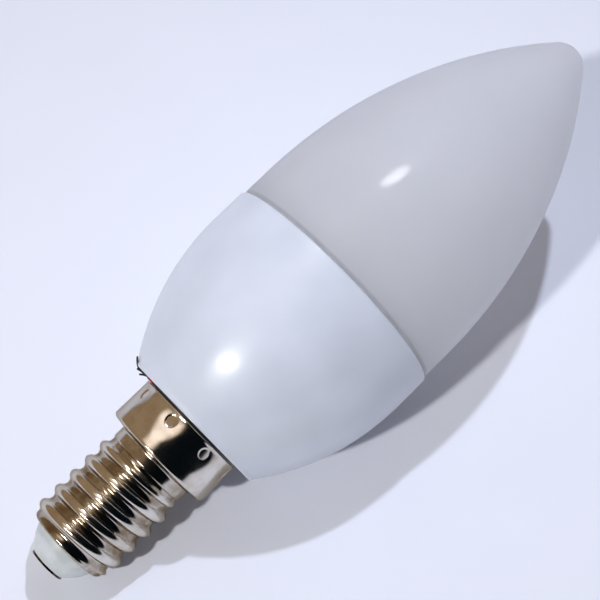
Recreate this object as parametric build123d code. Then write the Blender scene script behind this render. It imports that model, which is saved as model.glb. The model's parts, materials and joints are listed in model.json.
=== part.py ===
from build123d import *
from math import asin, cos, radians, sin
import os

# LED candle bulb with a 14 mm screw cap, lying on its side as it comes to rest.
# Every piece is drawn round the bulb's own axis, which is Z with the tip of the
# centre contact at zero, and is then laid down with the whole bulb.
# All sizes are in millimetres and all angles in degrees.

# Centre contact: a stamped disc with a shank
contact_diameter = 5.5
contact_dome = 0.3
contact_edge = 0.3
contact_shank_diameter = 1.6
contact_shank_length = 2.4

# Insulator: the moulded nose that carries the contact
insulator_nose_length = 3.4
insulator_nose_bulge = 7.0
insulator_plug_length = 2.4
moulded_clearance = 0.03

# Screw cap: thin plated sheet, rolled into a thread of the 14 mm lamp standard
thread_diameter = 13.89
thread_root_diameter = 12.29
thread_pitch = 2.822
thread_crest_width = 0.6
thread_bevel_width = 0.42
thread_bevel_drop = 0.34
thread_base_width = 1.9
thread_fade = 1.4
thread_angle = -66.7
thread_first_crest = 1.87
cap_wall = 0.3
lip_diameter = 10.9
lip_rise = 0.9
lip_bend = 0.6
threaded_length = 14.9
neck_diameter = 12.65
neck_length = 1.9
neck_step = 0.25
skirt_diameter = 17.0
skirt_length = 6.8
skirt_shoulder = 0.25
skirt_bend = 0.45
skirt_rim_edge = 0.2

# Staking: punched dimples that lock the skirt into a groove of the housing's neck
dimple_count = 8
dimple_angle = 8.3
dimple_diameter = 1.7
dimple_point = 0.6
dimple_sides = 8
dimple_depth = 0.5
dimple_from_rim = 1.5
staking_clearance = 0.08

# Housing: white moulded body between the cap and the cover
cap_gap = 0.6
housing_foot_diameter = 23.0
housing_foot_edge = 0.35
housing_length = 27.0
housing_diameter = 36.8
housing_belt = 5.2
housing_rim_edge = 0.2
neck_clearance = 0.12
snout_diameter = 11.2
snout_length = 12.5

# Cover: frosted shell that plugs into the housing's rim
cover_step = 0.3
cover_diameter = housing_diameter - 2 * cover_step
cover_length = 49.8
cover_wall = 1.2
cover_belt = 4.8
cover_tip_radius = 3.7
plug_step = 1.1
plug_diameter = cover_diameter - 2 * plug_step
plug_wall = 1.1
plug_depth = 2.9
plug_clearance = 0.1

# Light board: aluminium disc with a ring of light-emitting chips
board_margin = 0.3
board_diameter = plug_diameter - 2 * (plug_wall + board_margin)
board_thickness = 1.0
board_clearance = 0.1
chip_count = 8
chip_ring_diameter = 19.0
chip_length = 3.5
chip_width = 2.8
chip_height = 0.8

# Cap lead: its red sleeve is caught under the rim, and its bare strands stick out
lead_angle = -52.0
sleeve_diameter = 0.8
sleeve_buried = 3.0
sleeve_bend = 0.5
sleeve_reach = 0.6
sleeve_sides = 10
lead_clearance = 0.08
strand_diameter = 0.28
strand_spacing = 0.3
strand_sides = 6
strand_bend = 0.3
strand_routes = [
    [(0.6, -0.15), (2.1, -0.35), (3.05, 0.75)],
    [(0.6, -0.1), (1.9, -0.45)],
    [(0.45, -0.1), (1.15, -0.8)],
]

# Laying down: facets in millimetres and radians, and how finely the tilt is found
facet = 0.01
facet_angle = 0.3
tilt_step = 0.001

# Heights along the axis, from the contact's tip
contact_seat = contact_dome + contact_edge
lip_z = contact_seat + insulator_nose_length
neck_z = lip_z + threaded_length
shoulder_z = neck_z + neck_length
rim_z = shoulder_z + skirt_length
foot_z = rim_z + cap_gap
seam_z = foot_z + housing_length
tip_z = seam_z + cover_length
ledge_z = seam_z - plug_depth
board_z = ledge_z - board_thickness
staking_z = rim_z - dimple_from_rim
lead_z = rim_z + lead_clearance + sleeve_diameter / 2

# Radii that several pieces share
root_radius = thread_root_diameter / 2
neck_radius = neck_diameter / 2
skirt_radius = skirt_diameter / 2
skirt_bore = skirt_radius - cap_wall
spigot_radius = skirt_bore - neck_clearance
plug_radius = plug_diameter / 2
plug_bore = plug_radius - plug_wall
cover_radius = cover_diameter / 2
housing_radius = housing_diameter / 2
foot_radius = housing_foot_diameter / 2
lead_end = skirt_radius + sleeve_reach
strand_start = lead_end + lead_clearance


def turned(*outline):
    """Solid of revolution about the axis from a closed outline of radius and height."""
    return revolve(Plane.XZ * make_face(outline), Axis.Z)


def make_contact():
    """Domed disc, seated flat on the insulator, with a shank down its bore."""
    radius = contact_diameter / 2
    shank = contact_shank_diameter / 2
    shank_end = contact_seat + contact_shank_length
    bulge = (radius**2 + contact_dome**2) / (2 * contact_dome)
    dome = RadiusArc((0, 0), (radius, contact_dome), -bulge)
    back = Polyline(
        (radius, contact_dome),
        (radius, contact_seat),
        (shank, contact_seat),
        (shank, shank_end),
        (0, shank_end),
        (0, 0),
    )
    return turned(dome, back)


def make_insulator():
    """Rounded nose that flares under the cap's lip, with a plug moulded into the thread."""
    nose = contact_diameter / 2
    waist = lip_diameter / 2 - cap_wall - moulded_clearance
    plug = root_radius - cap_wall - moulded_clearance
    bore = contact_shank_diameter / 2 + moulded_clearance
    plug_start = lip_z + lip_rise + cap_wall
    plug_end = plug_start + insulator_plug_length
    flank = RadiusArc((nose, contact_seat), (waist, lip_z), -insulator_nose_bulge)
    inside = Polyline(
        (waist, lip_z),
        (waist, lip_z + cap_wall),
        (plug, plug_start),
        (plug, plug_end),
        (bore, plug_end),
        (bore, contact_seat),
        (nose, contact_seat),
    )
    return turned(flank, inside)


def make_thread():
    """Filled core with a bevelled helical ridge, right-handed, that fades at both ends."""
    rise = (thread_diameter - thread_root_diameter) / 2
    crest = thread_crest_width / 2
    bevel = crest + thread_bevel_width
    base = thread_base_width / 2
    half = [
        (rise, crest),
        (rise - thread_bevel_drop, bevel),
        (0, base),
        (-cap_wall, base),
    ]
    other_half = [(out, -aside) for out, aside in reversed(half)]
    first = lip_z + thread_first_crest - thread_pitch
    last = neck_z + thread_pitch / 2
    helix = Pos(0, 0, first) * Helix(thread_pitch, last - first, root_radius)
    start = Plane(helix @ 0, x_dir=(1, 0, 0), z_dir=helix % 0)
    profile = make_face(Polyline(*half, *other_half, close=True))
    ridge = sweep(start * profile, path=helix, is_frenet=True)
    core_length = last - first + 2 * thread_pitch
    core = Pos(0, 0, (first + last) / 2) * Cylinder(root_radius, core_length)
    outer = root_radius + rise + cap_wall
    bottom = lip_z + lip_rise / 3
    fading = turned(
        Polyline(
            (0, bottom),
            (root_radius, bottom),
            (outer, bottom + thread_fade),
            (outer, neck_z - thread_fade),
            (root_radius, neck_z),
            (0, neck_z),
            close=True,
        )
    )
    return (core + Rot(0, 0, thread_angle) * ridge) & fading


def make_cap():
    """Sheet cap with its rolled thread and its staked skirt."""
    lip = lip_diameter / 2
    outline = FilletPolyline(
        (lip, lip_z),
        (root_radius, lip_z + lip_rise),
        (root_radius, neck_z),
        (neck_radius, neck_z + neck_step),
        (neck_radius, shoulder_z),
        (skirt_radius, shoulder_z + skirt_shoulder),
        (skirt_radius, rim_z - skirt_rim_edge),
        (skirt_radius - skirt_rim_edge, rim_z),
        radius=[lip_bend, 0, 0, 0, skirt_bend, 0],
    )
    filled = turned(outline, Polyline(outline @ 1, (0, rim_z), (0, lip_z), (lip, lip_z)))
    bore = turned(
        Polyline(
            (0, lip_z),
            (lip - cap_wall, lip_z),
            (root_radius - cap_wall, lip_z + lip_rise + cap_wall / 2),
            (root_radius - cap_wall, shoulder_z + cap_wall),
            (skirt_bore, shoulder_z + skirt_shoulder + cap_wall),
            (skirt_bore, rim_z),
            (0, rim_z),
            close=True,
        )
    )
    bumps = dimples(cap_wall) & filled
    return (filled + make_thread()) - bore + bumps - dimples(0)


def dimples(wall):
    """Points of the staking punch all round the skirt, grown by a wall of sheet."""
    depth = dimple_depth + wall
    mouth = RegularPolygon(dimple_diameter / 2 + wall, dimple_sides)
    point = Pos(0, 0, depth) * RegularPolygon(dimple_point / 2 + wall, dimple_sides)
    punch = Pos(skirt_radius, 0, staking_z) * Rot(0, -90, 0) * loft([mouth, point])
    step = 360 / dimple_count
    return Part() + [Rot(0, 0, dimple_angle + step * i) * punch for i in range(dimple_count)]


def cover_outline(inset):
    """Side and tip arcs of the cover's ogive, moved inwards by inset."""
    belt_z = seam_z + cover_belt
    tip_centre = tip_z - cover_tip_radius
    rise = tip_centre - belt_z
    span = cover_radius - cover_tip_radius
    bow = (rise**2 + span**2) / (2 * span)
    lean = asin(rise / bow)
    tip = cover_tip_radius - inset
    joint = (tip * cos(lean), tip_centre + tip * sin(lean))
    side = RadiusArc((cover_radius - inset, belt_z), joint, -(bow + tip))
    return side, RadiusArc(joint, (0, tip_z - inset), -tip)


def make_cover():
    """Frosted shell: a plug for the housing's rim, a straight belt and a pointed ogive."""
    side, tip = cover_outline(0)
    inner_side, inner_tip = cover_outline(cover_wall)
    bore = cover_radius - cover_wall
    base_z = seam_z + plug_clearance
    plug_z = ledge_z + plug_clearance
    outside = Polyline(
        (plug_bore, plug_z),
        (plug_radius, plug_z),
        (plug_radius, base_z),
        (cover_radius, base_z),
        side @ 0,
    )
    inside = Polyline(
        inner_side @ 0,
        (bore, base_z + bore - plug_bore),
        (plug_bore, base_z),
        (plug_bore, plug_z),
    )
    return turned(outside, side, tip, Line(tip @ 1, inner_tip @ 1), inner_tip, inner_side, inside)


def make_housing():
    """Solid moulded body: a neck for the cap below, a seat for board and cover above."""
    belt_z = seam_z - housing_belt
    flank_z = foot_z + housing_foot_edge
    rise = belt_z - flank_z
    span = housing_radius - foot_radius
    bow = (rise**2 + span**2) / (2 * span)
    snout = snout_diameter / 2
    snout_z = shoulder_z - snout_length
    spigot_z = shoulder_z + skirt_shoulder + cap_wall + neck_clearance
    groove = skirt_bore - dimple_depth - staking_clearance
    groove_half = dimple_diameter / 2 + cap_wall + staking_clearance
    well = plug_radius + plug_clearance
    seat = board_diameter / 2 + board_clearance
    below = Polyline(
        (0, snout_z),
        (snout, snout_z),
        (snout, spigot_z),
        (spigot_radius, spigot_z),
        (spigot_radius, staking_z - groove_half),
        (groove, staking_z - groove_half),
        (groove, staking_z + groove_half),
        (spigot_radius, staking_z + groove_half),
        (spigot_radius, foot_z),
        (foot_radius - housing_foot_edge, foot_z),
    )
    edge = RadiusArc(below @ 1, (foot_radius, flank_z), -housing_foot_edge)
    flank = RadiusArc((foot_radius, flank_z), (housing_radius, belt_z), -bow)
    above = Polyline(
        (housing_radius, belt_z),
        (housing_radius, seam_z - housing_rim_edge),
        (housing_radius - housing_rim_edge, seam_z),
        (well, seam_z),
        (well, ledge_z),
        (seat, ledge_z),
        (seat, board_z),
        (0, board_z),
        (0, snout_z),
    )
    return turned(below, edge, flank, above) - lead_slot()


def lead_slot():
    """Square slot for the sleeve: up the neck, then out along the housing's foot."""
    width = sleeve_diameter + 2 * lead_clearance
    inner = spigot_radius - width
    bottom = rim_z - sleeve_buried - lead_clearance
    top = lead_z + width / 2
    low_corner = (Align.MIN, Align.CENTER, Align.MIN)
    slot = Box(lead_end + lead_clearance - inner, width, top - bottom, align=low_corner)
    return Rot(0, 0, lead_angle) * Pos(inner, 0, bottom) * slot


def wire(line, diameter, sides):
    """Plain wire with a flat-sided section along a line that starts in the bulb's XZ plane."""
    start = Plane(line @ 0, x_dir=(0, 1, 0), z_dir=line % 0)
    return sweep(start * RegularPolygon(diameter / 2, sides), path=line)


def make_sleeve():
    """Insulated end of the lead, bent round the rim from the neck's slot."""
    inside = spigot_radius - lead_clearance - sleeve_diameter / 2
    line = FilletPolyline(
        (inside, 0, rim_z - sleeve_buried),
        (inside, 0, lead_z),
        (lead_end, 0, lead_z),
        radius=sleeve_bend,
    )
    return Rot(0, 0, lead_angle) * wire(line, sleeve_diameter, sleeve_sides)


def make_strands():
    """Frayed bare strands, side by side where they leave the sleeve."""
    strands = Part()
    for index, route in enumerate(strand_routes):
        aside = (index - (len(strand_routes) - 1) / 2) * strand_spacing
        points = [(strand_start + out, aside, lead_z + up) for out, up in route]
        line = FilletPolyline((strand_start, aside, lead_z), *points, radius=strand_bend)
        strands += wire(line, strand_diameter, strand_sides)
    return Rot(0, 0, lead_angle) * strands


def make_board():
    """Disc that carries the chips, seated on the housing."""
    return Pos(0, 0, board_z + board_thickness / 2) * Cylinder(board_diameter / 2, board_thickness)


def make_chip(index):
    """One chip of the ring, soldered to the board."""
    place = Pos(chip_ring_diameter / 2, 0, ledge_z + chip_height / 2)
    return Rot(0, 0, 360 / chip_count * index) * place * Box(chip_width, chip_length, chip_height)


parts = {
    "centre_contact": make_contact(),
    "insulator": make_insulator(),
    "cap_shell": make_cap(),
    "housing": make_housing(),
    "cover": make_cover(),
    "light_board": make_board(),
    "lead_sleeve": make_sleeve(),
    "lead_strands": make_strands(),
}
for index in range(chip_count):
    parts[f"light_chip_{index + 1}"] = make_chip(index)


def height(corner, tilt):
    """Height of a point of the bulb when its tip is raised by tilt."""
    return corner.X * cos(radians(tilt)) + corner.Z * sin(radians(tilt))


def along(corner, tilt):
    """Place of a point of the bulb along the table when its tip is raised by tilt."""
    return corner.Z * cos(radians(tilt)) - corner.X * sin(radians(tilt))


def lowest(node, tilt):
    """Lowest height of a piece at a tilt."""
    return min(height(corner, tilt) for corner in corners[node])


def resting_tilt():
    """Tilt at which the cap's thread and the housing touch the table together."""
    low, high = 0.0, 45.0
    while high - low > tilt_step:
        tilt = (low + high) / 2
        if lowest("cap_shell", tilt) > lowest("housing", tilt):
            low = tilt
        else:
            high = tilt
    return low


# The bulb lies along X with its tip raised, and stands on the table over the origin
corners = {name: piece.tessellate(facet, facet_angle)[0] for name, piece in parts.items()}
tilt = resting_tilt()
reach = [along(corner, tilt) for node in corners.values() for corner in node]
middle = (min(reach) + max(reach)) / 2
lying = Pos(-middle, 0, -lowest("housing", tilt)) * Rot(0, -tilt, 0) * Rot(0, 90, 0) * Rot(0, 0, 180)

os.makedirs("parts", exist_ok=True)
for name, piece in parts.items():
    export_step(lying * piece, f"parts/{name}.step")
print(f"{len(parts)} pieces, lying with the tip raised {tilt:.2f} degrees")
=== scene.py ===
# %% [markdown]
# # A candle bulb on a pale table
#
# This lesson dresses a bulb that was built in CAD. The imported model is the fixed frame: every new piece
# is modelled round the bulb's own axis and then laid down exactly where the CAD piece lies. The CAD
# solids stay in the physics model, and the pieces made here take their place in the picture.

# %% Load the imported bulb
import json
import math

import bpy
import numpy as np
from mathutils import Matrix, Vector


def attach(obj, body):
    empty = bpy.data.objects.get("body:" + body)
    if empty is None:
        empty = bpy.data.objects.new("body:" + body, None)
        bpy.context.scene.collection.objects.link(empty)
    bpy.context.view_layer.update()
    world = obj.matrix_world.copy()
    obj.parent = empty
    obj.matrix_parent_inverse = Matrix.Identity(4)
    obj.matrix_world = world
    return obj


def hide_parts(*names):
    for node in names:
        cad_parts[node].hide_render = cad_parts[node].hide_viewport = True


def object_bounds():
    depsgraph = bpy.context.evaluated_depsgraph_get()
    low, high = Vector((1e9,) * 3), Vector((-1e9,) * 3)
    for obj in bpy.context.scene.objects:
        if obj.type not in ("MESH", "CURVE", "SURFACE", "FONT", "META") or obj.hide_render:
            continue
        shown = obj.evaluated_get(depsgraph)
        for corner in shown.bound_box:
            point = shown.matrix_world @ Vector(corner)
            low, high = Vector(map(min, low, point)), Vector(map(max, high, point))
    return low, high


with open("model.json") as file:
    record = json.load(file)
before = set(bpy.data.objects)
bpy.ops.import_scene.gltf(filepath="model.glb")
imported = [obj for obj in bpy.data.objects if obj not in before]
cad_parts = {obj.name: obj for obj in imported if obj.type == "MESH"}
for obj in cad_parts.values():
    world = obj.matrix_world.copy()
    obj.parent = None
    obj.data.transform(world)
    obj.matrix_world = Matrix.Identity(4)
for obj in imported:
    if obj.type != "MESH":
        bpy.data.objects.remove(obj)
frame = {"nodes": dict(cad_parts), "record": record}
cad_low, cad_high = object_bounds()
nodes = frame["nodes"]
print("CAD nodes:", ", ".join(sorted(nodes)))

# %% [markdown]
# ## The bulb's own axis
#
# The bulb lies tilted, because its thread and its housing touch the table together. Turned shapes are
# easiest to model upright, so this cell finds the bulb's axis from the centre contact's mount and builds
# the matrix that lays an upright piece down. Sizes that the CAD pieces already have are measured instead
# of typed again.

# %% Find the axis and measure the CAD pieces
mm = 0.001
contact_mount = next(m for m in frame["record"]["mounts"] if m["name"] == "centre_contact")
contact_tip = Vector(contact_mount["pos_m"])
bulb_axis = -Vector(contact_mount["axis"]).normalized()
bulb_up = Vector((-bulb_axis.z, 0, bulb_axis.x))
bulb_side = bulb_axis.cross(bulb_up)
lay_down = Matrix.Translation(contact_tip) @ Matrix((bulb_up, bulb_side, bulb_axis)).transposed().to_4x4()
stand_up = lay_down.inverted()


def measure(node):
    """Lowest and highest place along the bulb's axis, and largest radius, of a CAD node."""
    corners = [stand_up @ corner.co for corner in nodes[node].data.vertices]
    heights = [corner.z for corner in corners]
    return min(heights), max(heights), max(corner.xy.length for corner in corners)


lip_z, rim_z, skirt_radius = measure("cap_shell")
seam_z, housing_radius = measure("housing")[1:]
plug_z, tip_z, cover_radius = measure("cover")
board_z, board_top, board_radius = measure("light_board")
contact_radius = measure("centre_contact")[2]
print(f"axis rises {math.degrees(math.asin(bulb_axis.z)):.2f} degrees, bulb is {tip_z / mm:.1f} mm long")

# %% [markdown]
# ## Drawing and turning an outline
#
# Most of a bulb is turned: moulds and rolls make it round an axis. The outline is drawn as by hand, one
# corner pulled out again and again, and the Spin operator sweeps it round the axis. Spin can leave a
# shape inside out, so doubles are merged and normals recalculated before the piece is shaded smooth.

# %% Helpers for turned pieces
smooth_angle = math.radians(40)
merge_distance = 0.002 * mm


def arc(centre, radius, start, end, count):
    """Points of a round stretch of an outline, from one angle to another in degrees."""
    angles = np.radians(np.linspace(start, end, count))
    return [(centre[0] + radius * math.cos(a), centre[1] + radius * math.sin(a)) for a in angles]


def draw_outline(name, outline):
    """A row of edges through points of radius and height, left selected in edit mode."""
    bpy.ops.object.select_all(action="DESELECT")
    bpy.ops.mesh.primitive_plane_add(size=mm)
    piece = bpy.context.object
    piece.name = name
    bpy.ops.object.mode_set(mode="EDIT")
    bpy.ops.mesh.merge(type="CENTER")
    bpy.ops.transform.translate(value=(outline[0][0], 0, outline[0][1]))
    for (radius, height), (next_radius, next_height) in zip(outline, outline[1:]):
        step = (next_radius - radius, 0, next_height - height)
        bpy.ops.mesh.extrude_region_move(TRANSFORM_OT_translate={"value": step})
    bpy.ops.mesh.select_all(action="SELECT")
    return piece


def close_up():
    """Merge doubles and turn every face outwards, in edit mode."""
    bpy.ops.mesh.select_all(action="SELECT")
    bpy.ops.mesh.remove_doubles(threshold=merge_distance)
    bpy.ops.mesh.normals_make_consistent(inside=False)


def seat(piece, slot, *replaced):
    """Shade a finished upright piece, lay it down with the bulb and let it stand for its CAD nodes."""
    bpy.ops.object.mode_set(mode="OBJECT")
    bpy.ops.object.shade_smooth_by_angle(angle=smooth_angle)
    piece.matrix_world = lay_down
    bpy.ops.object.transform_apply(location=True, rotation=True, scale=True)
    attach(piece, "root")
    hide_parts(*replaced)
    print(f"{piece.name}: {len(piece.data.polygons)} faces")
    return piece


def lathe(name, outline, sides, slot, *replaced):
    """A closed piece, turned from an outline of radius and height."""
    piece = draw_outline(name, outline)
    bpy.ops.mesh.spin(steps=sides, angle=math.tau, center=(0, 0, 0), axis=(0, 0, 1))
    close_up()
    return seat(piece, slot, *replaced)


# %% [markdown]
# ## Frosted cover
#
# The cover is a thin moulded shell, pointed like a flame, that plugs into the housing. Its side is one
# large arc that runs straight off a short belt, and a small ball closes the tip. A real wall matters
# here: light enters the milky plastic and leaves it again, so the shell is modelled with its inside.

# %% Model the cover
cover_wall = 1.2 * mm
cover_belt = 4.8 * mm
cover_tip = 3.7 * mm
cover_foot = 0.6 * mm
cover_sides = 160
side_points = 44
tip_points = 16
foot_points = 9
seam_gap = 0.1 * mm
plug_step = 1.1 * mm
plug_wall = 1.1 * mm
plug_radius = cover_radius - plug_step
plug_bore = plug_radius - plug_wall

belt_z = seam_z + cover_belt
tip_centre = tip_z - cover_tip
rise = tip_centre - belt_z
span = cover_radius - cover_tip
bow = (rise**2 + span**2) / (2 * span)
bow_centre = (cover_radius - cover_tip - bow, belt_z)
lean = math.degrees(math.asin(rise / bow))


def ogive(inset):
    """The cover's side and tip, moved inwards, from the belt up to the axis."""
    side = arc(bow_centre, bow + cover_tip - inset, 0, lean, side_points)
    tip = arc((0, tip_centre), cover_tip - inset, lean, 90, tip_points)
    return side + tip[1:]


base_z = seam_z + seam_gap
foot_centre = (cover_radius - cover_foot, base_z + cover_foot)
cover_outline = [
    (plug_bore, plug_z),
    (plug_radius, plug_z),
    (plug_radius, base_z),
    *arc(foot_centre, cover_foot, -90, 0, foot_points),
    *ogive(0),
    *reversed(ogive(cover_wall)),
    (plug_bore, base_z),
    (plug_bore, plug_z),
]
cover = lathe("frosted_cover", cover_outline, cover_sides, "frosted_cover", "cover")

# %% [markdown]
# ## White housing
#
# The housing is one white moulding. Its flank is a single arc that starts at the foot, a little wider
# than the cap, and runs into a straight belt below the seam. The rim has a small rounded edge, so that
# the seam reads as a fine groove. The spigot inside the cap and the well for the light board are hidden,
# and they keep the CAD piece's form.

# %% Model the housing
foot_radius = 11.5 * mm
foot_edge = 0.5 * mm
foot_gap = 0.35 * mm
housing_belt = 5.2 * mm
rim_edge = 0.35 * mm
housing_sides = 160
flank_points = 40
edge_points = 7
spigot_inset = 0.42 * mm
spigot_length = 6.0 * mm
foot_z = rim_z + foot_gap
spigot_radius = skirt_radius - spigot_inset
spigot_end = rim_z - spigot_length
well_radius = plug_radius + seam_gap

flank_z = foot_z + foot_edge
flank_top = seam_z - housing_belt
flank_rise = flank_top - flank_z
flank_span = housing_radius - foot_radius
flank_bow = (flank_rise**2 + flank_span**2) / (2 * flank_span)
flank_start = -math.degrees(math.asin(flank_rise / flank_bow))
housing_outline = [
    (0, spigot_end),
    (spigot_radius, spigot_end),
    (spigot_radius, foot_z),
    *arc((foot_radius - foot_edge, flank_z), foot_edge, -90, flank_start, edge_points),
    *arc((housing_radius - flank_bow, flank_top), flank_bow, flank_start, 0, flank_points),
    *arc((housing_radius - rim_edge, seam_z - rim_edge), rim_edge, 0, 90, edge_points),
    (well_radius, seam_z),
    (well_radius, board_top),
    (board_radius + seam_gap, board_top),
    (board_radius + seam_gap, board_z),
    (0, board_z),
]
housing = lathe("white_housing", housing_outline, housing_sides, "white_housing", "housing")

# %% [markdown]
# ## Screw cap
#
# The cap is thin plated sheet with a thread rolled into it, after which the skirt was staked to the
# housing by a ring of punched dimples. A screw is an outline that climbs as it turns, which is just what
# the Screw modifier does, so one pitch of the wavy thread is drawn and screwed round the axis. The ends
# fade to a plain tube, two cuts make them level, and rings are then pulled out of the cut edges for the
# lip, neck and skirt.

# %% Screw the thread
thread_radius = 13.89 * mm / 2
root_radius = 12.29 * mm / 2
pitch = 2.822 * mm
thread_phase = math.radians(-66.7)
first_crest = 5.87 * mm
cap_wall = 0.3 * mm
cap_sides = 288
wave_points = 20
spare_turns = 3
lip_height = 0.5 * mm
threaded_length = 14.9 * mm
thread_bottom = lip_z + lip_height
neck_z = lip_z + threaded_length
lip_fade = 0.8 * mm
neck_fade = 1.6 * mm

wave_depth = thread_radius - root_radius
wave_radius = (wave_depth**2 + (pitch / 2) ** 2) / (4 * wave_depth)
wave_angle = math.degrees(math.asin(pitch / 4 / wave_radius))
quarter = wave_points // 4 + 1
half = wave_points // 2 + 1
low_half = arc((root_radius + wave_radius, 0), wave_radius, 180, 180 - wave_angle, quarter)
crest = arc((thread_radius - wave_radius, pitch / 2), wave_radius, -wave_angle, wave_angle, half)
high_half = arc((root_radius + wave_radius, pitch), wave_radius, 180 + wave_angle, 180, quarter)
turns = math.ceil((neck_z - thread_bottom) / pitch) + spare_turns

cap = draw_outline("screw_cap", low_half + crest[1:] + high_half[1:])
bpy.ops.object.mode_set(mode="OBJECT")
bpy.ops.object.modifier_add(type="SCREW")
screw = cap.modifiers["Screw"]
screw.screw_offset = pitch
screw.iterations = turns
screw.steps = cap_sides
screw.render_steps = cap_sides
bpy.ops.object.modifier_apply(modifier="Screw")
bpy.ops.object.mode_set(mode="EDIT")
close_up()
bpy.ops.object.mode_set(mode="OBJECT")

crest_now = pitch / 2
climb = pitch * thread_phase / math.tau
drop = first_crest - climb - crest_now
drop -= pitch * math.ceil((drop - (thread_bottom - 2 * pitch)) / pitch)
print(f"{turns} turns of thread, wave radius {wave_radius / mm:.2f} mm, lowered to {drop / mm:.2f} mm")


def smooth_rise(values, start, end):
    """Zero before start, one after end and an even S-curve between them."""
    share = np.clip((values - start) / (end - start), 0, 1)
    return share * share * (3 - 2 * share)


def corners_of(piece):
    """A piece's corners as rows of x, y and z."""
    flat = np.empty(3 * len(piece.data.vertices), np.float32)
    piece.data.vertices.foreach_get("co", flat)
    return flat.reshape(-1, 3).astype(float)


def move_corners(piece, corners):
    """Put a piece's corners at new places."""
    piece.data.vertices.foreach_set("co", corners.astype(np.float32).ravel())
    piece.data.update()


spots = corners_of(cap)
spots[:, 2] += drop
radii = np.hypot(spots[:, 0], spots[:, 1])
fade = smooth_rise(spots[:, 2], thread_bottom, thread_bottom + lip_fade)
fade *= 1 - smooth_rise(spots[:, 2], neck_z - neck_fade, neck_z)
spots[:, :2] *= ((root_radius + (radii - root_radius) * fade) / radii)[:, None]
move_corners(cap, spots)

# %% [markdown]
# The two Bisect cuts leave level rings of edges. A ring is pulled on by extruding it and scaling it to
# the next radius, which is how one would model a tube's end by hand. Below, the lip turns in towards the
# insulator. Above, the neck steps out to the skirt, and the sheet's edge returns inside, down to the lip,
# as a plain wall.

# %% Pull out the lip, the neck and the skirt
neck_radius = 12.65 * mm / 2
neck_ease = 0.06 * mm
neck_bend = 0.3 * mm
skirt_length = 6.8 * mm
shoulder_rise = 0.25 * mm
shoulder_bend = 0.5 * mm
shoulder_inside = 0.8 * mm
lip_radius = 10.9 * mm / 2
lip_bend = 0.45 * mm
lip_edge = 0.02 * mm
lip_inside = 1.1 * mm
cut_exact = 0.0001 * mm
bend_points = 8
neck_points = 5
dimple_rows = 44


def select_ring(piece, height):
    """Select the open ring of edges at a height, in edit mode."""
    bpy.ops.mesh.select_all(action="DESELECT")
    bpy.ops.object.mode_set(mode="OBJECT")
    near = np.abs(corners_of(piece)[:, 2] - height) < merge_distance
    piece.data.vertices.foreach_set("select", near)
    bpy.ops.object.mode_set(mode="EDIT")


def pull_ring(outline):
    """Extrude the selected ring through an outline whose first point is where it is now."""
    for (radius, height), (next_radius, next_height) in zip(outline, outline[1:]):
        move = {"value": (0, 0, next_height - height)}
        bpy.ops.mesh.extrude_region_move(TRANSFORM_OT_translate=move)
        grow = next_radius / radius
        bpy.ops.transform.resize(value=(grow, grow, 1), center_override=(0, 0, next_height))


bpy.ops.object.mode_set(mode="EDIT")
bpy.ops.mesh.select_mode(type="VERT")
bpy.ops.mesh.select_all(action="SELECT")
level = {"plane_no": (0, 0, 1), "threshold": cut_exact}
bpy.ops.mesh.bisect(plane_co=(0, 0, thread_bottom), clear_inner=True, **level)
bpy.ops.mesh.select_all(action="SELECT")
bpy.ops.mesh.bisect(plane_co=(0, 0, neck_z), clear_outer=True, **level)

lip_centre = (root_radius - lip_bend, lip_z + lip_bend)
inner_lip = lip_radius - cap_wall
lip_arc = arc(lip_centre, lip_bend, 0, -80, bend_points)
select_ring(cap, thread_bottom)
pull_ring([(root_radius, thread_bottom), *lip_arc, (inner_lip, lip_z)])

shoulder_z = rim_z - skirt_length
skirt_z = shoulder_z + shoulder_rise + shoulder_bend
skirt_bore = skirt_radius - cap_wall
skirt_top = rim_z - cap_wall / 2
neck_top = shoulder_z - neck_bend
lining_radius = root_radius - cap_wall
select_ring(cap, neck_z)
pull_ring(
    [
        (root_radius, neck_z),
        (neck_radius - neck_ease, neck_z + 2 * neck_ease),
        (neck_radius, neck_z + neck_bend),
        (neck_radius, neck_top),
        *arc((neck_radius + neck_bend, neck_top), neck_bend, 180, 95, neck_points),
        *arc((skirt_radius - shoulder_bend, skirt_z), shoulder_bend, -80, 0, bend_points),
        *[(skirt_radius, height) for height in np.linspace(skirt_z, skirt_top, dimple_rows)[1:]],
        *arc((skirt_radius - cap_wall / 2, skirt_top), cap_wall / 2, 0, 180, edge_points)[1:],
        (skirt_bore, shoulder_z + shoulder_inside),
        (lining_radius, shoulder_z + cap_wall),
        (lining_radius, lip_z + lip_inside),
        (inner_lip, lip_z + lip_edge),
        (inner_lip, lip_z),
    ]
)
close_up()
bpy.ops.object.mode_set(mode="OBJECT")

# %% [markdown]
# The staking punch leaves small conical pits, and the thin sheet sinks a little all round each of them.
# Such a dent is only a smooth move of the skirt's corners, towards the axis, by a depth that falls off
# with distance.

# %% Punch the dimples
dimple_count = 8
dimple_phase = math.radians(8.3)
dimple_from_rim = 1.5 * mm
dimple_radius = 0.95 * mm
dimple_depth = 0.5 * mm
dimple_floor = 0.12 * dimple_radius
sink_radius = 3.2 * mm
sink_depth = 0.25 * mm
rim_stiff_from = 0.45 * mm
rim_stiff_to = 0.1 * mm

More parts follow.
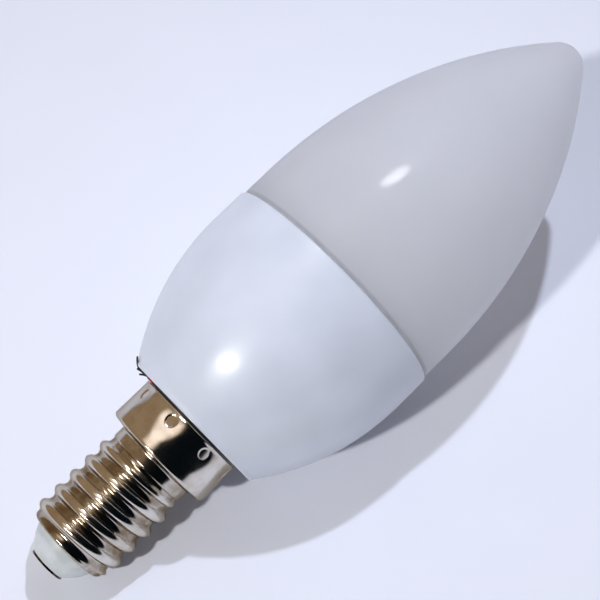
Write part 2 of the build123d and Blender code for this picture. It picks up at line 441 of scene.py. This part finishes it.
spots = corners_of(cap)
radii = np.hypot(spots[:, 0], spots[:, 1])
angles = np.arctan2(spots[:, 1], spots[:, 0]) - dimple_phase
dimple_z = rim_z - dimple_from_rim
step = math.tau / dimple_count
around = (angles - step * np.round(angles / step)) * skirt_radius
away = np.hypot(around, spots[:, 2] - dimple_z)
skirt = (radii > skirt_bore - merge_distance) & (spots[:, 2] > skirt_z)
pit = dimple_depth * (1 - smooth_rise(away, dimple_floor, dimple_radius))
sink = sink_depth * (1 - smooth_rise(away, 0, sink_radius))
hold = 1 - smooth_rise(spots[:, 2], rim_z - rim_stiff_from, rim_z - rim_stiff_to)
spots[:, :2] *= (1 - np.where(skirt, (pit + sink) * hold, 0) / radii)[:, None]
move_corners(cap, spots)
bpy.context.view_layer.objects.active = cap
cap.select_set(True)
seat(cap, "plated_cap", "cap_shell")

# %% [markdown]
# ## Insulator and centre contact
#
# The insulator is a moulded nose that bulges out of the cap's lip and narrows to the contact. The contact
# is a thin stamped disc with a flat dome. Both are turned, with rounded edges that catch the light.

# %% Model the nose of the cap
nose_bulge = 7.0 * mm
contact_dome = 0.3 * mm
contact_edge = 0.3 * mm
nose_edge = 0.18 * mm
nose_rise = 0.2 * mm
nose_sides = 96
nose_points = 24
dome_points = 12
dome_share = 0.97
dome_rim_share = 0.985
moulded_clearance = 0.03 * mm
plug_start = 1.25 * mm
plug_length = 3.6 * mm
contact_seat = contact_dome + contact_edge
waist = inner_lip - moulded_clearance
nose_plug_radius = lining_radius - moulded_clearance
plug_top = lip_z + plug_length


def bulged(start, end, bulge, count):
    """Points of an arc of a given radius between two points, bowed away from the axis."""
    first, last = Vector(start), Vector(end)
    chord = last - first
    out = Vector((chord.y, -chord.x)).normalized()
    middle = (first + last) / 2
    centre = middle - out * math.sqrt(bulge**2 - (chord.length / 2) ** 2)
    begin = math.degrees(math.atan2(*(first - centre).yx))
    finish = math.degrees(math.atan2(*(last - centre).yx))
    return arc(centre, bulge, begin, finish, count)


nose_start = (contact_radius + nose_edge, contact_seat + nose_edge)
nose_end = (waist, lip_z + nose_rise)
nose = bulged(nose_start, nose_end, nose_bulge, nose_points)
insulator_outline = [
    (0, contact_seat),
    (contact_radius, contact_seat),
    *nose,
    (waist, lip_z + cap_wall),
    (nose_plug_radius, lip_z + plug_start),
    (nose_plug_radius, plug_top),
    (0, plug_top),
]
insulator = lathe("cap_insulator", insulator_outline, nose_sides, "cap_insulator", "insulator")

dome_radius = (contact_radius**2 + contact_dome**2) / (2 * contact_dome)
dome_angle = math.degrees(math.asin(contact_radius / dome_radius))
contact_outline = [
    *arc((0, dome_radius), dome_radius, -90, -90 + dome_angle * dome_share, dome_points),
    (contact_radius, contact_dome * dome_rim_share),
    (contact_radius, contact_seat),
    (0, contact_seat),
]
contact = lathe("contact_disc", contact_outline, nose_sides, "contact_metal", "centre_contact")

# %% [markdown]
# ## The caught lead
#
# A scrap of the lead sticks out between the skirt and the housing: a red sleeve that is nipped by the
# rim, and bare strands that have frayed and kinked. Each wire is a smooth curve with a round section,
# made a mesh. A strand's bends are millimetres beyond the sleeve's end: first out from the axis, then
# along it.

# %% Model the sleeve and the strands
lead_angle = math.radians(-52.0)
sleeve_diameter = 0.8 * mm
strand_diameter = 0.28 * mm
strand_gap = 0.2 * mm
strand_root = 0.6 * mm
lead_clearance = 0.08 * mm
sleeve_buried = 3.0 * mm
sleeve_straight = 2.0 * mm
sleeve_bend = 0.9 * mm
sleeve_reach = 0.6 * mm
lead_z = rim_z + lead_clearance + sleeve_diameter / 2
sleeve_in = spigot_radius - lead_clearance - sleeve_diameter / 2
sleeve_end = skirt_radius + sleeve_reach
sleeve_start = rim_z - sleeve_buried
sleeve_route = [
    (sleeve_in, 0, sleeve_start),
    (sleeve_in, 0, sleeve_start + sleeve_straight),
    (sleeve_in, 0, lead_z),
    (sleeve_in + sleeve_bend, 0, lead_z),
    (sleeve_end, 0, lead_z),
]
strand_routes = [
    [(0.6, 0.0), (2.0, -0.2), (2.75, 0.5)],
    [(0.6, -0.15), (2.1, -0.35), (3.05, 0.75)],
    [(0.6, -0.1), (1.9, -0.45)],
    [(0.45, -0.1), (1.15, -0.8)],
    [(0.4, -0.2), (1.6, -0.3)],
]


def wire(name, route, diameter):
    """A round wire along a smooth curve, led by control points in the bulb's own frame."""
    bpy.ops.object.select_all(action="DESELECT")
    bpy.ops.curve.primitive_nurbs_path_add()
    piece = bpy.context.object
    piece.name = name
    curve = piece.data
    curve.splines.clear()
    line = curve.splines.new("NURBS")
    line.points.add(len(route) - 1)
    for point, place in zip(line.points, route):
        point.co = (*place, 1)
    line.order_u = 3
    line.use_endpoint_u = True
    line.resolution_u = 10
    curve.bevel_depth = diameter / 2
    curve.bevel_resolution = 4
    curve.use_fill_caps = True
    bpy.ops.object.convert(target="MESH")
    piece.data.transform(Matrix.Rotation(lead_angle, 4, "Z"))
    bpy.ops.object.mode_set(mode="EDIT")
    close_up()
    bpy.ops.object.mode_set(mode="OBJECT")
    return piece


sleeve = seat(wire("red_sleeve", sleeve_route, sleeve_diameter), "red_sleeve", "lead_sleeve")

strands = []
for index, route in enumerate(strand_routes):
    aside = (index - (len(strand_routes) - 1) / 2) * strand_gap
    root = (sleeve_end - strand_root, aside, lead_z)
    bends = [(sleeve_end + out * mm, aside, lead_z + up * mm) for out, up in route]
    strands.append(wire(f"strand_{index + 1}", [root, *bends], strand_diameter))
for strand in strands:
    strand.select_set(True)
bpy.context.view_layer.objects.active = strands[0]
bpy.ops.object.join()
frayed = bpy.context.object
frayed.name = "frayed_strands"
seat(frayed, "lead_wire", "lead_strands")

# %% [markdown]
# ## Writing shader maths
#
# A finish is a sum of many small patterns. This class wraps one socket of a material, so that Python's
# own operators add the Math nodes, and its method `node` makes any other node. The rest are short names
# for the nodes that come up again and again.

# %% A socket that can be added and multiplied


class Signal:
    """A value on its way through a material's nodes."""

    def __init__(self, tree, socket=None):
        self.tree = tree
        self.socket = socket

    def node(self, kind, settings=None, sockets=None, output=0):
        """Add a node of any kind: settings first, then its sockets' values or links."""
        made = self.tree.nodes.new(kind)
        for key, value in (settings or {}).items():
            setattr(made, key, value)
        for key, value in (sockets or {}).items():
            if isinstance(value, Signal):
                self.tree.links.new(value.socket, made.inputs[key])
            else:
                made.inputs[key].default_value = value
        return Signal(self.tree, made.outputs[output] if made.outputs else None)

    def math(self, operation, first, second):
        """A Math node on two values."""
        return self.node("ShaderNodeMath", {"operation": operation}, {0: first, 1: second})

    def vector(self, operation, other=(0, 0, 0), output=0):
        """A Vector Math node on this vector and another."""
        return self.node("ShaderNodeVectorMath", {"operation": operation}, {0: self, 1: other}, output)

    def __add__(self, other):
        return self.math("ADD", self, other)

    def __radd__(self, other):
        return self.math("ADD", other, self)

    def __sub__(self, other):
        return self.math("SUBTRACT", self, other)

    def __rsub__(self, other):
        return self.math("SUBTRACT", other, self)

    def __mul__(self, other):
        return self.math("MULTIPLY", self, other)

    def __rmul__(self, other):
        return self.math("MULTIPLY", other, self)

    def between(self, low, high):
        """Zero below low, one above high and smooth between them."""
        limits = {"Value": self, "From Min": low, "From Max": high}
        return self.node("ShaderNodeMapRange", {"interpolation_type": "SMOOTHSTEP"}, limits)

    def blend(self, dark, light):
        """A colour from dark to light as this value goes from zero to one."""
        mix = {"data_type": "RGBA", "clamp_factor": True}
        return self.node("ShaderNodeMix", mix, {0: self, 6: dark, 7: light}, 2)


def new_finish(name):
    """An empty material and the signal that its nodes start from."""
    material = bpy.data.materials.new(name)
    material.use_nodes = True
    material.node_tree.nodes.clear()
    return material, Signal(material.node_tree)


def place_of(start):
    """Object coordinates, which are metres in the bulb's lying frame."""
    return start.node("ShaderNodeTexCoord", output="Object")


def noise(place, size, detail=2.0, rough=0.5):
    """Cloudy noise from about zero to one, with patches of a given size in metres."""
    sockets = {"Vector": place, "Scale": 1 / size, "Detail": detail, "Roughness": rough}
    return place.node("ShaderNodeTexNoise", {}, sockets)


def bump(height, strength, distance):
    """A normal from a height pattern, with its depth in metres."""
    sockets = {"Height": height, "Strength": strength, "Distance": distance}
    return height.node("ShaderNodeBump", {}, sockets)


def principled(start, **sockets):
    """A Principled shader, with its sockets named in plain words."""
    named = {key.replace("_", " ").title().replace("Ior", "IOR"): value for key, value in sockets.items()}
    return start.node("ShaderNodeBsdfPrincipled", {}, named)


def surface(start, **sockets):
    """End a material in one Principled shader."""
    start.node("ShaderNodeOutputMaterial", {}, {"Surface": principled(start, **sockets)})


def coat(piece, material):
    """Give a piece one finish all over."""
    piece.data.materials.clear()
    piece.data.materials.append(material)
    print(f"{piece.name} wears {material.name}")


# %% [markdown]
# ## Frosted plastic
#
# The cover is milky polycarbonate. Light scatters in its wall, so the shader has subsurface scattering
# over a few millimetres: that leaves a paler band along the outline, where one looks along the wall. Much
# of the light goes on into the hollow and leaves through the other side, so a translucent shader is mixed
# in, which evens out the shading. A faint cloudiness and a fine grain keep it from looking flat. Shade is
# painted nearly black into the cover's foot, a thin band along the seam.

# %% Finish of the cover
def along_axis(place):
    """Distance from the contact's tip along the bulb's axis, in metres."""
    return place.vector("SUBTRACT", contact_tip).vector("DOT_PRODUCT", bulb_axis, "Value")


milk_dark = (0.75, 0.75, 0.78, 1)
milk_light = (0.80, 0.80, 0.83, 1)
milk_glow = (0.97, 0.97, 0.98, 1)
# Painted shade: a nearly black band on the cover's foot along the seam.
seam_painted_shade = (0.10, 0.10, 0.11, 1)
see_through = 0.7
cloud_size = 9 * mm
grain_size = 0.35 * mm
grain_depth = 0.02 * mm
scatter_length = 3.0 * mm
seam_shade_from = base_z + 0.2 * mm
seam_shade_to = base_z + 0.7 * mm

frosted, start = new_finish("frosted_plastic")
place = place_of(start)
cloud = noise(place, cloud_size, 3)
grain = noise(place, grain_size, 2)
# Painted shade: the cover's colour darkens towards its foot, into the seam.
seam_shaded = 1 - along_axis(place).between(seam_shade_from, seam_shade_to)
milk = cloud.between(0.3, 0.7).blend(milk_dark, milk_light)
milky = principled(
    start,
    base_color=seam_shaded.blend(milk, seam_painted_shade),
    roughness=0.36 + 0.08 * grain,
    subsurface_weight=1.0,
    subsurface_radius=(1.0, 1.0, 1.0),
    subsurface_scale=scatter_length,
    coat_weight=0.5,
    coat_roughness=0.07,
    ior=1.5,
    normal=bump(grain, 0.12, grain_depth),
)
through = start.node("ShaderNodeBsdfTranslucent", {}, {"Color": milk_glow})
mixed = start.node("ShaderNodeMixShader", {}, {0: see_through, 1: milky, 2: through})
start.node("ShaderNodeOutputMaterial", {}, {"Surface": mixed})
coat(cover, frosted)

# %% [markdown]
# ## White moulded plastic
#
# The housing is opaque white with a cool tint. Injection-moulded plastic is never perfectly flat: a fine
# orange peel softens its highlight, and handling leaves faint dull patches. Shade is painted nearly black
# into the narrow gap above the cap's rim, and the distance from the bulb's axis tells where that is.

# %% Finish of the housing
def from_axis(place):
    """Distance from the bulb's axis, in metres."""
    across = place.vector("SUBTRACT", contact_tip).vector("CROSS_PRODUCT", bulb_axis)
    return across.vector("LENGTH", output="Value")


white_shade = (0.59, 0.62, 0.69, 1)
white_light = (0.68, 0.71, 0.79, 1)
# Painted shade: the housing is coloured nearly black in the gap above the cap's rim.
gap_painted_shade = (0.05, 0.045, 0.04, 1)
patch_size = 9 * mm
peel_size = 0.6 * mm
peel_depth = 0.02 * mm
gap_shade_from = skirt_radius - 0.1 * mm
gap_shade_to = skirt_radius + 0.6 * mm

moulded, start = new_finish("white_plastic")
place = place_of(start)
patches = noise(place, patch_size, 2)
peel = noise(place, peel_size, 2)
# Painted shade: one next to the cap's rim, falling to zero a little way out.
gap_shaded = 1 - from_axis(place).between(gap_shade_from, gap_shade_to)
white = patches.between(0.1, 0.9).blend(white_shade, white_light)
surface(
    start,
    base_color=gap_shaded.blend(white, gap_painted_shade),
    roughness=0.28 + 0.08 * patches,
    coat_weight=0.3,
    coat_roughness=0.18,
    ior=1.5,
    normal=bump(peel, 0.1, peel_depth),
)
coat(housing, moulded)

# %% [markdown]
# ## Nickel plate
#
# The cap is bright nickel with a warm cast. Handling dulls it in smudges, and the roots of the thread
# hold a brownish film. The distance from the bulb's axis tells root from crest, so the film follows the
# thread.

# %% Finish of the cap
nickel_bright = (0.70, 0.67, 0.62, 1)
nickel_warm = (0.56, 0.50, 0.42, 1)
film_brown = (0.24, 0.18, 0.12, 1)
edge_tint = (0.52, 0.47, 0.40, 1)
smudge_size = 2.4 * mm
smudge_depth = 0.05 * mm
speck_size = 0.3 * mm
film_top = root_radius + 0.5 * wave_depth

plated, start = new_finish("nickel_plate")
place = place_of(start)
near_root = 1 - from_axis(place).between(root_radius, film_top)
smudge = noise(place, smudge_size, 4, 0.6)
speck = noise(place, speck_size, 2)
film = near_root * (0.3 + 0.7 * smudge.between(0.3, 0.7))
nickel = smudge.between(0.35, 0.75).blend(nickel_bright, nickel_warm)
surface(
    start,
    base_color=film.blend(nickel, film_brown),
    metallic=1.0,
    specular_tint=edge_tint,
    roughness=0.10 + 0.08 * smudge.between(0.4, 0.8) + 0.03 * speck,
    normal=bump(smudge, 0.05, smudge_depth),
)
coat(cap, plated)

# %% [markdown]
# ## Small parts of the cap
#
# The insulator is a pale greenish moulding, the sleeve soft red plastic and the strands dark, oxidised
# wire. The contact is a disc of metal whose colour is painted nearly black, a painted reflection of a
# dark room. Each gets its own tone, with the speckle and dullness of a used part.

# %% Finishes of the small parts
speckle_depth = 0.02 * mm


def speckled(name, dark, light, size, rough, metallic=0.0):
    """A finish whose colour wanders between two tones in patches of one size."""
    material, begin = new_finish(name)
    where = place_of(begin)
    patch = noise(where, size, 3)
    fine = noise(where, size / 6, 2)
    surface(
        begin,
        base_color=patch.between(0.3, 0.7).blend(dark, light),
        roughness=rough + 0.15 * fine,
        metallic=metallic,
        normal=bump(fine, 0.1, speckle_depth),
    )
    return material


pale_green = (0.55, 0.58, 0.58, 1)
greener = (0.63, 0.66, 0.66, 1)
# Painted reflection: the contact's metal is coloured nearly black for the dark room it mirrors.
painted_dark_metal = (0.06, 0.05, 0.04, 1)
copper = (0.20, 0.15, 0.11, 1)
deep_red = (0.42, 0.02, 0.02, 1)
bright_red = (0.60, 0.05, 0.04, 1)
wire_black = (0.012, 0.012, 0.012, 1)
wire_brown = (0.04, 0.034, 0.03, 1)
coat(insulator, speckled("greenish_moulding", pale_green, greener, 1.5 * mm, rough=0.3))
# The contact's finish carries the painted dark reflection.
coat(contact, speckled("contact_metal", painted_dark_metal, copper, 0.8 * mm, rough=0.12, metallic=1.0))
coat(sleeve, speckled("red_insulation", deep_red, bright_red, 0.5 * mm, rough=0.35))
coat(frayed, speckled("lead_wire", wire_black, wire_brown, 0.4 * mm, rough=0.4))

# %% [markdown]
# ## Light board and chips
#
# The board and its chips lie behind the milky cover and keep the CAD pieces' form. They still get the
# usual finishes, a white mask and yellow phosphor, because the light that passes the cover falls on them.

# %% Finishes of the board and the chips
mask_grey = (0.76, 0.77, 0.77, 1)
mask_white = (0.80, 0.81, 0.80, 1)
phosphor_deep = (0.83, 0.67, 0.19, 1)
phosphor_pale = (0.86, 0.72, 0.24, 1)
coat(nodes["light_board"], speckled("white_mask", mask_grey, mask_white, 3 * mm, rough=0.4))
chip_finish = speckled("phosphor", phosphor_deep, phosphor_pale, 0.6 * mm, rough=0.4)
for name, node in nodes.items():
    if name.startswith("light_chip"):
        coat(node, chip_finish)

# %% [markdown]
# ## Camera
#
# The photograph looks down on the bulb from the cap's end, so that it lies from the lower left to the
# upper right. The camera turns about a point near the middle of the axis, a little to one side of it.

# %% Place the camera
camera_azimuth = math.radians(-42.1)
camera_elevation = math.radians(57.0)
camera_distance = 190.0 * mm
camera_lens = 80.9
target_along = 50.65 * mm
target_aside = 1.86 * mm
film_width = 36.0

back = Vector(
    (
        math.sin(camera_azimuth) * math.cos(camera_elevation),
        -math.cos(camera_azimuth) * math.cos(camera_elevation),
        math.sin(camera_elevation),
    )
)
target = contact_tip + bulb_axis * target_along + back.cross(bulb_axis).normalized() * target_aside
bpy.ops.object.camera_add(location=target + back * camera_distance)
camera = bpy.context.object
camera.rotation_euler = (-back).to_track_quat("-Z", "Y").to_euler()
camera.data.lens = camera_lens
camera.data.sensor_width = film_width
camera.data.clip_start = 1 * mm
bpy.context.scene.camera = camera
print("camera at", [round(value / mm, 1) for value in camera.location])

# %% [markdown]
# ## Table
#
# The bulb lies on a pale, dull table. A plane is enough for it, set at the height of the bulb's lowest
# point and large enough to fill the view from any side. A faint mottle keeps it from looking computed.

# %% Build the table
table_pale = (0.83, 0.84, 0.91, 1)
table_shade = (0.80, 0.81, 0.88, 1)
table_size = 3.0
mottle_size = 20 * mm

bpy.ops.object.select_all(action="DESELECT")
bpy.ops.mesh.primitive_plane_add(size=table_size)
table = bpy.context.object
table.name = "table"
table.location.z = cad_low.z
tabletop, start = new_finish("table_top")
mottle = noise(place_of(start), mottle_size, 3)
surface(start, base_color=mottle.blend(table_shade, table_pale), roughness=0.7)
coat(table, tabletop)

# %% [markdown]
# ## Lamps and panels
#
# Two small lamps cast the crisp shadows: a cool one hangs close above, a little towards the tip, and a
# plain one stands low behind the cap, so that its shadow falls beyond the tip. One place rarely suits
# both a shadow and its highlight, so reflections leave these lamps out, and two panels that only
# reflections see stand where the plastic mirrors its bright spots.

# %% Hang the lamps
def lamp(name, direction, distance, size, power, colour):
    """A round or oval lamp that faces the bulb's middle from a direction; size is across and along it."""
    towards = Vector(direction).normalized()
    aim = contact_tip + bulb_axis * (tip_z / 2)
    bpy.ops.object.light_add(type="AREA", location=aim + towards * distance)
    made = bpy.context.object
    made.name = name
    made.rotation_euler = towards.to_track_quat("Z", "Y").to_euler()
    made.data.shape = "ELLIPSE"
    made.data.size, made.data.size_y = size
    made.data.energy = power
    made.data.color = colour
    print(f"{name}: {power} W from {distance} m away")
    return made


cool_light = (0.76, 0.83, 1.0)
plain_light = (0.97, 0.98, 1.0)
panel_cool = (0.96, 0.98, 1.0)
panel_warm = (1.0, 0.97, 0.9)
near_lamp = lamp("near_lamp", (0.265, 0.085, 0.96), 0.27, (0.010, 0.010), 0.38, cool_light)
low_lamp = lamp("low_lamp", (-0.72, -0.12, 0.69), 0.6, (0.03, 0.03), 2.15, plain_light)
for shining in (near_lamp, low_lamp):
    shining.visible_glossy = False
upper_panel = lamp("upper_panel", (0.205, 0.15, 0.965), 0.6, (0.11, 0.08), 1.0, panel_cool)
lower_panel = lamp("lower_panel", (-0.829, -0.04, 0.559), 0.6, (0.18, 0.04), 1.5, panel_warm)
for mirrored in (upper_panel, lower_panel):
    mirrored.visible_diffuse = False
    mirrored.visible_transmission = False

# %% [markdown]
# ## The room
#
# A world can show different rays different things. Most rays see soft light, stronger from the tip's end.
# Reflected rays see the room that bright metal mirrors: a tan wall on the far side, almost black on the
# near one and a soft glow overhead. The camera sees a pale backdrop.

# %% Build the room
sky_near = (0.03, 0.029, 0.03, 1)
sky_far = (0.46, 0.45, 0.47, 1)
room_near = (0.002, 0.004, 0.006, 1)
room_far = (0.34, 0.24, 0.145, 1)
glow_colour = (1.5, 1.3, 1.15, 1)
glow_centre = (-0.22, 0.10, 0.97)
glow_edge = math.cos(math.radians(17))
glow_core = math.cos(math.radians(2))
backdrop = (0.86, 0.88, 0.98, 1)
far_share = 0.65
tip_share = 0.75
sky_turn = 0.8
wall_from = -0.25
wall_to = 0.05

world = bpy.data.worlds.new("room")
bpy.context.scene.world = world
world.use_nodes = True
world.node_tree.nodes.clear()
start = Signal(world.node_tree)
direction = start.node("ShaderNodeTexCoord", output="Generated")
towards_far = start.node("ShaderNodeSeparateXYZ", {}, {0: direction}, "Y")
towards_tip = start.node("ShaderNodeSeparateXYZ", {}, {0: direction}, "X")
open_sky = (far_share * towards_far + tip_share * towards_tip).between(-sky_turn, sky_turn)
soft_sky = open_sky.blend(sky_near, sky_far)
walls = towards_far.between(wall_from, wall_to).blend(room_near, room_far)
near_glow = direction.vector("DOT_PRODUCT", glow_centre, "Value")
room = near_glow.between(glow_edge, glow_core).blend(walls, glow_colour)
glossy = start.node("ShaderNodeLightPath", output="Is Glossy Ray")
seen = start.node("ShaderNodeLightPath", output="Is Camera Ray")
shown = seen.blend(glossy.blend(soft_sky, room), backdrop)
sky = start.node("ShaderNodeBackground", {}, {"Color": shown, "Strength": 1.0})
start.node("ShaderNodeOutputWorld", {}, {"Surface": sky})

# %% [markdown]
# ## Plain colours
#
# The Standard view shows colours as they were written, without a film curve that would grey the white
# plastic.

# %% Choose the view
bpy.context.scene.view_settings.view_transform = "Standard"
